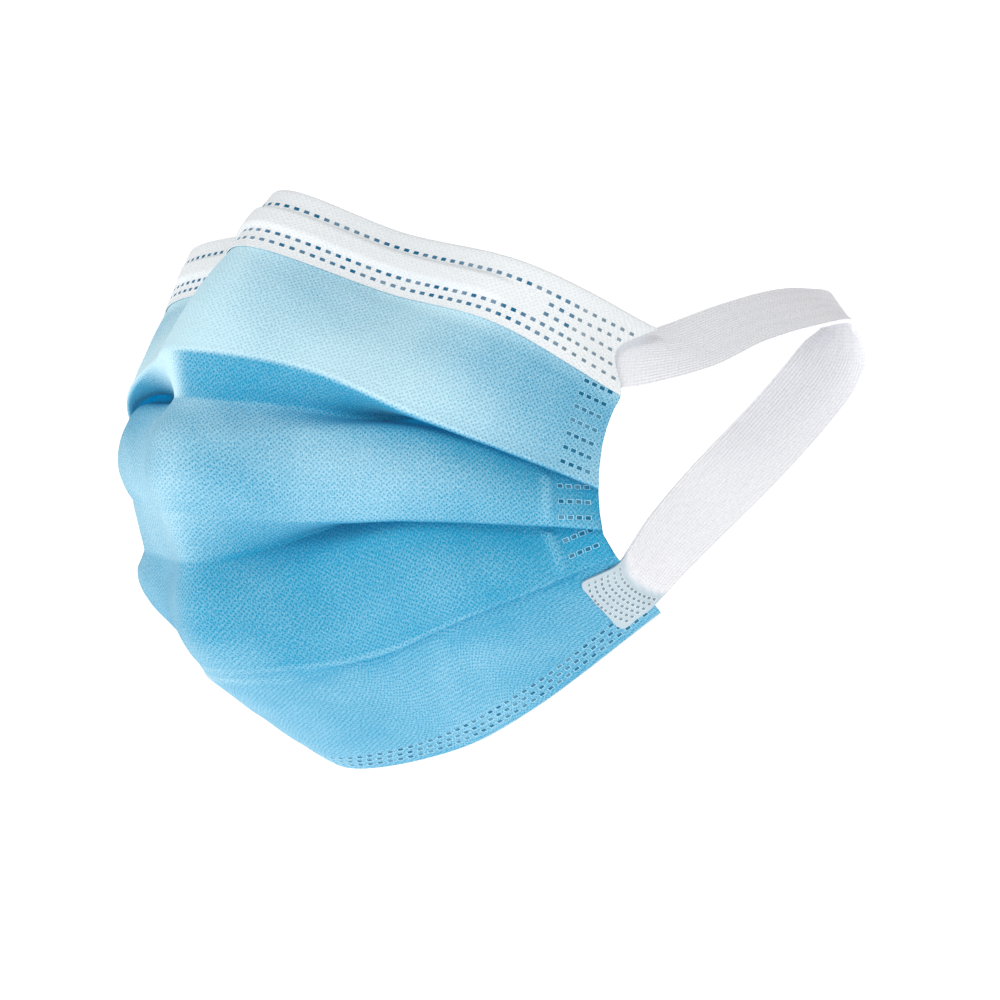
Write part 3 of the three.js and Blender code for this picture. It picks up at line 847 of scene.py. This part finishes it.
def weld_tree():
    """Weld marks along rows: a rounded plate with a rim and a pressed floor at each step."""
    tree, given = tree_with("Weld marks", ("Length", "Width", "Corner", "Rim", "Sunk", "Pressed"))
    outline = node(tree, "GeometryNodeCurvePrimitiveQuadrilateral", {
        "Width": given["Length"], "Height": given["Width"],
    })
    rounded = node(tree, "GeometryNodeFilletCurve", {
        0: outline.outputs[0], "Radius": given["Corner"], "Count": 2,
    }, mode="POLY")
    plate = node(tree, "GeometryNodeFillCurve", {0: rounded.outputs[0]}, mode="NGONS")
    sunk_by = node(tree, "ShaderNodeCombineXYZ", {"Z": maths(tree, "MULTIPLY", given["Sunk"], -1)})
    base = node(tree, "GeometryNodeSetPosition", {0: plate.outputs[0], "Offset": sunk_by.outputs[0]})
    under = node(tree, "GeometryNodeFlipFaces", {0: base.outputs[0]})
    raised = node(tree, "GeometryNodeExtrudeMesh", {
        0: base.outputs[0], "Offset Scale": maths(tree, "ADD", given["Sunk"], given["Rim"]),
    }, mode="FACES")
    inset = node(tree, "GeometryNodeExtrudeMesh", {
        0: raised.outputs[0], "Selection": raised.outputs["Top"], "Offset Scale": 0,
    }, mode="FACES")
    narrowed = node(tree, "GeometryNodeScaleElements", {
        0: inset.outputs[0], "Selection": inset.outputs["Top"], "Scale": FLOOR_SHARE,
    })
    press_by = node(tree, "ShaderNodeCombineXYZ", {"Z": maths(tree, "MULTIPLY", given["Pressed"], -1)})
    floor = node(tree, "GeometryNodeSetPosition", {
        0: narrowed.outputs[0], "Selection": inset.outputs["Top"], "Offset": press_by.outputs[0],
    })
    told = node(tree, "GeometryNodeStoreNamedAttribute", {
        0: floor.outputs[0], "Selection": inset.outputs["Top"], "Name": "pressed", "Value": 1,
    }, data_type="FLOAT", domain="FACE")
    whole = node(tree, "GeometryNodeJoinGeometry", {0: [told.outputs[0], under.outputs[0]]})
    mark = node(tree, "GeometryNodeMergeByDistance", {0: whole.outputs[0], "Distance": 0.001 * MM})
    rows = node(tree, "GeometryNodeMeshToCurve", {0: given["Geometry"]})
    outward = node(tree, "GeometryNodeInputNamedAttribute", {"Name": "outward"}, data_type="FLOAT_VECTOR")
    along = node(tree, "GeometryNodeInputTangent")
    upright = node(tree, "FunctionNodeAlignRotationToVector", {"Vector": outward.outputs[0]}, axis="Z")
    turned = node(tree, "FunctionNodeAlignRotationToVector", {
        "Rotation": upright.outputs[0], "Vector": along.outputs[0],
    }, axis="X", pivot_axis="Z")
    marks = node(tree, "GeometryNodeInstanceOnPoints", {
        "Points": rows.outputs[0], "Instance": mark.outputs[0], "Rotation": turned.outputs[0],
    })
    end_tree(tree, marks.outputs[0], given["Material"])
    return tree


def rib_tree():
    """Lengthwise ribs on a strap, from its own across and melt attributes."""
    tree, given = tree_with("Knitted ribs", ("Rib height",), (("Ribs", "NodeSocketInt"),))
    across = node(tree, "GeometryNodeInputNamedAttribute", {"Name": "across"}, data_type="FLOAT")
    melt = node(tree, "GeometryNodeInputNamedAttribute", {"Name": "melt"}, data_type="FLOAT")
    turns = maths(tree, "MULTIPLY", across.outputs[0], given["Ribs"])
    wave = maths(tree, "COSINE", maths(tree, "MULTIPLY", turns, math.tau))
    unmelted = maths(tree, "SUBTRACT", 1, melt.outputs[0])
    height = maths(tree, "MULTIPLY", wave, maths(tree, "MULTIPLY", unmelted, given["Rib height"]))
    out = node(tree, "GeometryNodeInputNormal")
    offset = node(tree, "ShaderNodeVectorMath", {0: out.outputs[0], "Scale": height}, operation="SCALE")
    ribbed = node(tree, "GeometryNodeSetPosition", {0: given["Geometry"], "Offset": offset.outputs[0]})
    end_tree(tree, ribbed.outputs[0], given["Material"])
    return tree


def grown(piece, tree, values):
    """Runs a tree on a piece and leaves the result as its plain mesh."""
    modifier = piece.modifiers.new(tree.name, "NODES")
    modifier.node_group = tree
    for item in tree.interface.items_tree:
        if item.in_out == "INPUT" and item.name in values:
            modifier[item.identifier] = values[item.name]
    bpy.context.view_layer.update()
    seen = piece.evaluated_get(bpy.context.evaluated_depsgraph_get())
    mesh = bpy.data.meshes.new_from_object(seen)
    piece.modifiers.clear()
    guide = piece.data
    piece.data = mesh
    mesh.name = piece.name
    bpy.data.meshes.remove(guide)
    return piece


def tree_named(name, make):
    """A tree by its name, made once."""
    return bpy.data.node_groups.get(name) or make()


def weld_rows(name, rows, material, settings, size=1.0):
    """Weld marks along rows, each a list of points with the way out."""
    points = [at for row in rows for at, _ in row]
    outward = [out for row in rows for _, out in row]
    edges = []
    first = 0
    for row in rows:
        edges += [(first + k, first + k + 1) for k in range(len(row) - 1)]
        first += len(row)
    mesh = bpy.data.meshes.new(name)
    mesh.from_pydata([tuple(p) for p in points], edges, [])
    stored = mesh.attributes.new("outward", "FLOAT_VECTOR", "POINT")
    stored.data.foreach_set("vector", np.array(outward, np.float32).ravel())
    welds = settings.welds
    piece = grown(place(name, mesh), tree_named("Weld marks", weld_tree), {
        "Length": welds.length * size,
        "Width": welds.width * size,
        "Corner": welds.width * MARK_CORNER * size,
        "Rim": welds.rim,
        "Sunk": MARK_SUNK,
        "Pressed": welds.rim * MARK_PRESSED,
        "Material": material,
    })
    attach(piece, "root")
    return piece


built = {}


def mask_settings():
    """The settings of the mask in the open scene."""
    return bpy.context.scene.face_mask


def shared_cloth():
    """The outer ply's surface and its marks, worked out once."""
    if "cloth" not in built:
        built["cloth"], built["marks"], built["tones"] = mask_cloth(mask_settings())
    return built["cloth"], built["marks"]


def shared_material(name, make, *values):
    """A material by its name, made once."""
    return bpy.data.materials.get(name) or make(name, *values)


def blue_cloth():
    """The outer ply's material."""
    cloth = mask_settings().cloth
    colours = (tuple(cloth.pale_blue), tuple(cloth.deep_blue), tuple(cloth.blue_painted_glint))
    return shared_material("Spunbond polypropylene blue", spunbond, *colours, cloth.through)


def white_cloth():
    """The lining's and the binding's material."""
    cloth = mask_settings().cloth
    colours = (tuple(cloth.white), tuple(cloth.grey), tuple(cloth.white))
    return shared_material("Spunbond polypropylene white", spunbond, *colours, 0.0)


def weld_material(name, floor, rim):
    """A weld's material by its name."""
    return shared_material("Melted polypropylene " + name, melted_weld, tuple(floor), tuple(rim))


def binding_height(depth, reach, settings):
    """How far the binding's middle lies off the outer ply, raised over the nose wire."""
    half_wire = WIRE_LENGTH / CLOTH_WIDTH
    taper = 2 * WIRE_TAPER / CLOTH_WIDTH
    rising = ease(depth, WIRE_TOP - WIRE_SLOPE, WIRE_TOP)
    falling = ease(depth, WIRE_BOTTOM, WIRE_BOTTOM + WIRE_SLOPE)
    past = ease(reach, half_wire, half_wire + taper)
    return settings.cloth.binding_lift + settings.cloth.wire_rise * rising * (1 - falling) * (1 - past)


def brow_down(across, depth):
    """Length down the cloth of a depth on the bound strip, which is a little deeper towards its ends."""
    return depth / BINDING_FRONT * mark_down("binding", across)


def reach_at(across):
    """Share of the half width from the middle of the front, at a length across the cloth."""
    return abs(2 * across / CLOTH_WIDTH - 1)


def dress(piece, solid):
    """Puts a finished piece in place of its solid, on the one body."""
    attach(piece, "root")
    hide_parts(solid)


class FACEMASK_OT_outer_panel(bpy.types.Operator):
    """Blue outer ply with its three pleats"""

    bl_idname = "facemask.outer_panel"
    bl_label = "Outer Panel"

    def execute(self, context):
        cloth, _ = shared_cloth()
        # Painted light and shade: the light that reaches each point, times the painted shades about the
        # pleats, is stored for the colour, and the creases that it hardly reaches get a painted glow
        light_exposure = openness(cloth)
        painted_light = np.clip((light_exposure - LIGHT_RANGE[0]) / (LIGHT_RANGE[1] - LIGHT_RANGE[0]), 0, 1)
        painted_shading = {"open": painted_light * built["tones"], "hidden": 1 - ease(light_exposure, *PAINTED_GLOW_RANGE)}
        mesh = wall_mesh("outer_panel_cloth", cloth, mask_settings().cloth.panel_wall, attributes=painted_shading)
        piece = place("outer_panel_cloth", mesh, blue_cloth())
        dress(piece, "outer_panel")
        return {"FINISHED"}


class FACEMASK_OT_inner_lining(bpy.types.Operator):
    """White lining behind the outer ply, folded with it"""

    bl_idname = "facemask.inner_lining"
    bl_label = "Inner Lining"

    def execute(self, context):
        cloth, _ = shared_cloth()
        settings = mask_settings().cloth
        points = cloth.lift(-settings.lining_step)[HEM_ROWS:]
        hem = points[-1] + unit(points[-1] - points[-2]) * settings.lining_show
        lining = Cloth(np.concatenate([points, [hem]]), CLOTH_WIDTH)
        # Painted shade: the lining's last rows, where it shows below the bottom edge, get no painted light
        # and turn towards the grey of the pressed dots
        painted_light = np.ones(lining.down.shape)
        painted_light[-HEM_ROWS:] = 0
        mesh = wall_mesh("inner_lining_cloth", lining, settings.lining_wall, attributes={"open": painted_light})
        piece = place("inner_lining_cloth", mesh, white_cloth())
        dress(piece, "inner_lining")
        return {"FINISHED"}


class FACEMASK_OT_top_binding(bpy.types.Operator):
    """White binding folded over the top edge, raised over the nose wire"""

    bl_idname = "facemask.top_binding"
    bl_label = "Top Binding"

    def execute(self, context):
        cloth, _ = shared_cloth()
        settings = mask_settings()
        behind = settings.cloth.lining_step + settings.cloth.lining_wall + settings.cloth.binding_wall
        turn_radius = (behind + settings.cloth.binding_lift) / 2
        across = np.linspace(0, CLOTH_WIDTH, COLUMNS)
        down = unit(cloth.points[2] - cloth.points[0])
        rows = []
        for depth in np.arange(BINDING_BACK, 0, -BINDING_ROW):
            rows.append([cloth.spot(a, brow_down(a, depth), -behind)[0] for a in across])
        out = cloth.out[0]
        over = down * settings.cloth.binding_over
        middle = cloth.points[0] + out * (settings.cloth.binding_lift - behind) / 2 - over
        for angle in np.linspace(math.pi, 0, BINDING_TURNS):
            rows.append(middle + (out * math.cos(angle) - down * math.sin(angle)) * turn_radius)
        for depth in np.linspace(0, BINDING_FRONT, round(BINDING_FRONT / BINDING_ROW))[1:]:
            height = [binding_height(depth, reach_at(a), settings) for a in across]
            rows.append([cloth.spot(a, brow_down(a, depth), h)[0] for a, h in zip(across, height)])
        binding = Cloth(np.array(rows), CLOTH_WIDTH)
        painted_light = np.ones(binding.down.shape)
        wall = settings.cloth.binding_wall
        mesh = wall_mesh("top_binding_cloth", binding, wall, attributes={"open": painted_light})
        piece = place("top_binding_cloth", mesh, white_cloth())
        dress(piece, "top_binding")
        return {"FINISHED"}


class FACEMASK_OT_nose_wire(bpy.types.Operator):
    """Flat coated wire in the binding"""

    bl_idname = "facemask.nose_wire"
    bl_label = "Nose Wire"

    def execute(self, context):
        cloth, _ = shared_cloth()
        settings = mask_settings().cloth
        height = (settings.panel_wall + settings.wire_thick) / 2 + WIRE_CLEAR
        start = (CLOTH_WIDTH - WIRE_LENGTH) / 2
        across = np.linspace(start, CLOTH_WIDTH - start, WIRE_COLUMNS)
        rows = []
        for depth in np.linspace(WIRE_TOP, WIRE_BOTTOM, WIRE_ROWS):
            rows.append([cloth.spot(a, brow_down(a, depth), height)[0] for a in across])
        strip = Cloth(np.array(rows), WIRE_LENGTH)
        side = np.linspace(-1, 1, WIRE_ROWS)[:, None]
        rounded = settings.wire_thick * np.sqrt(1 - WIRE_ROUND * side**4)
        mesh = wall_mesh("nose_wire_strip", strip, rounded)
        piece = place("nose_wire_strip", mesh, shared_material("Coated wire", coated_wire, linear("#E4E7EA")))
        dress(piece, "nose_wire")
        return {"FINISHED"}


def left_strap(settings):
    """The left loop's middle surface, from inside the top corner round the ear to the bottom corner."""
    cloth, _ = shared_cloth()
    shares = np.linspace(0, 1, STRAP_RUNS)
    behind = settings.cloth.lining_step + settings.cloth.lining_wall + 1.5 * settings.cloth.binding_wall
    inside = behind + settings.loops.melted / 2 + TOP_CLEAR
    outside = (settings.cloth.panel_wall + settings.loops.melted) / 2 + TAB_CLEAR
    rows = []
    for inset in TOP_WELD:
        depths = mix(*TOP_WELD_DEPTH, shares) * BINDING_FRONT
        across = CLOTH_WIDTH - inset
        rows.append([cloth.spot(across, brow_down(across, depth), -inside)[0] for depth in depths])
    route = np.array([at for at, _ in LOOP]) * MM
    ways = mean_way(route, 0)
    for (at, across), way in zip(LOOP, ways):
        across = np.array(across) - way * np.dot(across, way)
        rows.append(np.array(at) * MM + np.outer(shares - 0.5, unit(across)) * STRAP_WIDTH)
    for inset, rounding in TAB_WELD:
        across = CLOTH_WIDTH - inset
        top, bottom = (mark_down(name, across) for name in ("below ridge 3", "bottom edge"))
        downs = mix(top, bottom, mix(TAB_SHARE[0] + rounding, TAB_SHARE[1] - rounding, shares))
        rows.append([cloth.spot(across, down, outside)[0] for down in downs])
    runs = smooth(np.array(rows), [STRAP_STEPS] * (len(rows) - 1))
    steps = settings.loops.ribs * RIB_STEPS // (STRAP_RUNS - 1)
    columns = smooth(runs.transpose(1, 0, 2), [steps] * (STRAP_RUNS - 1))
    return Cloth(columns.transpose(1, 0, 2), STRAP_WIDTH)


def mark_down(name, across):
    """Length down the cloth to a named line, at a length across it."""
    cloth, marks = shared_cloth()
    return np.interp(across, cloth.across[0], cloth.down[marks[name]])


class FACEMASK_OT_ear_loops(bpy.types.Operator):
    """Flat knitted ear loops, ribbed lengthwise and melted at their welded ends"""

    bl_idname = "facemask.ear_loops"
    bl_label = "Ear Loops"

    def execute(self, context):
        settings = mask_settings()
        loops = settings.loops
        left = left_strap(settings)
        material = shared_material("Knitted elastic", knitted_elastic, tuple(loops.white), tuple(loops.tab))
        total = left.down[-1].mean()
        tab = ease(left.down, total - TAB_MELT[0], total - TAB_MELT[1])
        melt = np.maximum(1 - ease(left.down, *TOP_MELT), tab)
        thickness = mix(loops.thick, loops.melted, melt)
        across = left.across / STRAP_WIDTH
        built["left strap"] = left
        for side, sign in (("left", 1), ("right", -1)):
            name = "ear_loop_" + side + "_strap"
            strap = Cloth(left.points * (sign, 1, 1), STRAP_WIDTH)
            told = {"across": across, "melt": melt, "tab": tab}
            mesh = wall_mesh(name, strap, thickness, attributes=told)
            values = {"Rib height": loops.rib_height, "Ribs": loops.ribs, "Material": material}
            piece = grown(place(name, mesh), tree_named("Knitted ribs", rib_tree), values)
            dress(piece, "ear_loop_" + side)
        return {"FINISHED"}


def row_along(start, end, depth, height, pitch=None, count=None):
    """Even steps along a row across the cloth, at a depth and a height that may change along it."""
    cloth, _ = shared_cloth()
    guide = np.linspace(start, end, max(3, round(abs(end - start) / GUIDE_STEP)))
    points = np.array([cloth.spot(a, depth(a), height(a))[0] for a in guide])
    lengths = np.concatenate([[0], np.cumsum(np.linalg.norm(np.diff(points, axis=0), axis=-1))])
    count = count or round(lengths[-1] / pitch) + 1
    steps = np.interp(np.linspace(0, lengths[-1], count), lengths, guide)
    return [cloth.spot(a, depth(a), height(a)) for a in steps]


def binding_rows(settings):
    """Rows of marks on the binding: through the blue ply, and at the ends over the straps."""

    def row(start, end, depth):
        def height(a):
            return binding_height(depth, reach_at(a), settings) + settings.cloth.binding_wall / 2

        return row_along(start, end, lambda a: brow_down(a, depth), height, settings.welds.pitch)

    far_end = CLOTH_WIDTH - END_WELDED
    teal = [row(END_WELDED, far_end, depth) for depth in WHOLE_ROWS]
    grey = []
    for depth in GRID_ROWS:
        teal.append(row(END_WELDED, END_GRID, depth))
        teal.append(row(CLOTH_WIDTH - END_GRID, far_end, depth))
    for depth in (*WHOLE_ROWS, *GRID_ROWS):
        grey.append(row(END_INSET, END_WELDED - settings.welds.pitch, depth))
        grey.append(row(far_end + settings.welds.pitch, CLOTH_WIDTH - END_INSET, depth))
    return teal, grey


def side_rows(settings):
    """Rows of marks along the side edges, above each ridge."""
    first, last = SIDE_COLUMN
    rows = []
    for line, heights in SIDE_ROWS.items():
        for up in heights:
            def depth(a):
                return mark_down(line, a) - up * MM

            for start, end in ((first, last), (CLOTH_WIDTH - first, CLOTH_WIDTH - last)):
                rows.append(row_along(start, end, depth, on_panel(settings), count=SIDE_MARKS))
    return rows


def bottom_rows(settings):
    """Staggered rows of marks along the bottom edge."""
    rows = []
    for k, up in enumerate(BOTTOM_ROWS):
        shift = (k % 2) * BOTTOM_SHIFT
        start = BOTTOM_INSET + shift
        end = CLOTH_WIDTH - BOTTOM_INSET + shift - BOTTOM_SHIFT

        def depth(a):
            return mark_down("bottom edge", a) - up

        rows.append(row_along(start, end, depth, on_panel(settings), BOTTOM_PITCH))
    return rows


def tab_rows(settings, sign):
    """Rows of marks on a strap's lower end, on the left or mirrored to the right."""
    strap = built["left strap"]
    total = strap.down[-1].mean()
    mirror = np.array((sign, 1, 1))
    rows = []
    for back in TAB_ROWS:
        row = []
        for a in np.linspace(TAB_INSET, STRAP_WIDTH - TAB_INSET, TAB_MARKS):
            at, out = strap.spot(a, total - back)
            out = out if out[0] > 0 else -out
            row.append(((at + out * settings.loops.melted / 2) * mirror, out * mirror))
        rows.append(row)
    return rows


def on_panel(settings):
    """The height of the outer ply's face off its middle surface, the same all along a row."""
    return lambda a: settings.cloth.panel_wall / 2


class FACEMASK_OT_welds(bpy.types.Operator):
    """Rows of ultrasonic weld marks on the binding, the side edges, the bottom edge and the tabs"""

    bl_idname = "facemask.welds"
    bl_label = "Weld Marks"

    def execute(self, context):
        settings = mask_settings()
        welds = settings.welds
        on_white = weld_material("teal on white", welds.teal, welds.white_rim)
        on_blue = weld_material("teal on blue", welds.teal, welds.blue_rim)
        on_strap = weld_material("grey", welds.grey, welds.white_rim)
        teal, grey = binding_rows(settings)
        weld_rows("binding_welds", teal, on_white, settings)
        weld_rows("binding_end_welds", grey, on_strap, settings, END_SIZE)
        weld_rows("side_welds", side_rows(settings), on_blue, settings)
        weld_rows("bottom_welds", bottom_rows(settings), on_blue, settings)
        for side, sign in (("left", 1), ("right", -1)):
            rows = tab_rows(settings, sign)
            weld_rows("tab_welds_" + side, rows, on_strap, settings, TAB_SIZE)
        return {"FINISHED"}


class FACEMASK_OT_stage(bpy.types.Operator):
    """Pale floor, soft studio light and the camera"""

    bl_idname = "facemask.stage"
    bl_label = "Stage"

    def execute(self, context):
        scene = context.scene
        scene.view_settings.view_transform = "Standard"
        half = FLOOR_SIZE / 2
        sides = ((-half, -half), (half, -half), (half, half), (-half, half))
        mesh = bpy.data.meshes.new("studio_floor")
        mesh.from_pydata([(x, y, -FLOOR_DROP) for x, y in sides], [], [range(len(sides))])
        paint, tree = new_material("Matte white paint")
        surface(tree, {
            "Base Color": (FLOOR_WHITE, FLOOR_WHITE, FLOOR_WHITE, 1), "Roughness": 0.9,
            "Emission Color": (1, 1, 1, 1), "Emission Strength": FLOOR_GLOW,
        })
        place("studio_floor", mesh, paint)

        world = bpy.data.worlds.new("Studio")
        scene.world = world
        world.use_nodes = True
        tree = world.node_tree
        tree.nodes.clear()
        way = node(tree, "ShaderNodeTexCoord").outputs["Generated"]
        height = node(tree, "ShaderNodeSeparateXYZ", {0: way}).outputs["Z"]
        strength = ramp(tree, height, *SKY_HEIGHTS, *SKY_STRENGTHS)
        glow = node(tree, "ShaderNodeBackground", {"Color": (1, 1, 1, 1), "Strength": strength})
        node(tree, "ShaderNodeOutputWorld", {"Surface": glow.outputs[0]})

        back = Vector((
            math.sin(CAMERA_AZIMUTH) * math.cos(CAMERA_ELEVATION),
            -math.cos(CAMERA_AZIMUTH) * math.cos(CAMERA_ELEVATION),
            math.sin(CAMERA_ELEVATION),
        ))
        camera = bpy.data.objects.new("camera", bpy.data.cameras.new("camera"))
        scene.collection.objects.link(camera)
        camera.location = CAMERA_TARGET + back * CAMERA_DISTANCE
        camera.rotation_euler = back.to_track_quat("Z", "Y").to_euler()
        camera.data.lens = camera.data.sensor_width * CAMERA_DISTANCE / VIEW_WIDTH
        camera.data.clip_start = 0.01
        camera.data.clip_end = 100
        scene.camera = camera

        lamp = bpy.data.lights.new("key_light", "AREA")
        lamp.size = KEY_SIZE
        lamp.energy = KEY_POWER
        holder = bpy.data.objects.new("key_light", lamp)
        scene.collection.objects.link(holder)
        holder.location = KEY_AT
        holder.rotation_euler = (KEY_AT - CAMERA_TARGET).to_track_quat("Z", "Y").to_euler()
        holder.visible_camera = False
        return {"FINISHED"}


class FaceMaskSettings(bpy.types.PropertyGroup):
    """Sizes and colours of the mask."""

    cloth: PointerProperty(type=MaskCloth, name="Cloth", description="Plies, binding and nose wire")
    welds: PointerProperty(type=MaskWelds, name="Welds", description="Rows of weld marks")
    loops: PointerProperty(type=MaskLoops, name="Ear loops", description="Knitted elastic ear loops")


OPERATORS = (
    FACEMASK_OT_stage,
    FACEMASK_OT_outer_panel,
    FACEMASK_OT_inner_lining,
    FACEMASK_OT_top_binding,
    FACEMASK_OT_nose_wire,
    FACEMASK_OT_ear_loops,
    FACEMASK_OT_welds,
)


class FACEMASK_PT_pieces(bpy.types.Panel):
    """Lists the pieces of the mask and their settings"""

    bl_label = "Face Mask"
    bl_idname = "FACEMASK_PT_pieces"
    bl_space_type = "VIEW_3D"
    bl_region_type = "UI"
    bl_category = "Face Mask"

    def draw(self, context):
        settings = context.scene.face_mask
        for group in (settings.cloth, settings.welds, settings.loops):
            box = self.layout.box()
            for key in group.__annotations__:
                box.prop(group, key)
        for operator in OPERATORS:
            self.layout.operator(operator.bl_idname)


CLASSES = (MaskCloth, MaskWelds, MaskLoops, FaceMaskSettings, *OPERATORS, FACEMASK_PT_pieces)


def register():
    for made in CLASSES:
        bpy.utils.register_class(made)
    bpy.types.Scene.face_mask = PointerProperty(type=FaceMaskSettings)


def unregister():
    del bpy.types.Scene.face_mask
    for made in reversed(CLASSES):
        bpy.utils.unregister_class(made)


def main():
    register()
    bpy.ops.facemask.stage()
    bpy.ops.facemask.outer_panel()
    bpy.ops.facemask.inner_lining()
    bpy.ops.facemask.top_binding()
    bpy.ops.facemask.nose_wire()
    bpy.ops.facemask.ear_loops()
    bpy.ops.facemask.welds()


if __name__ == "__main__":
    main()
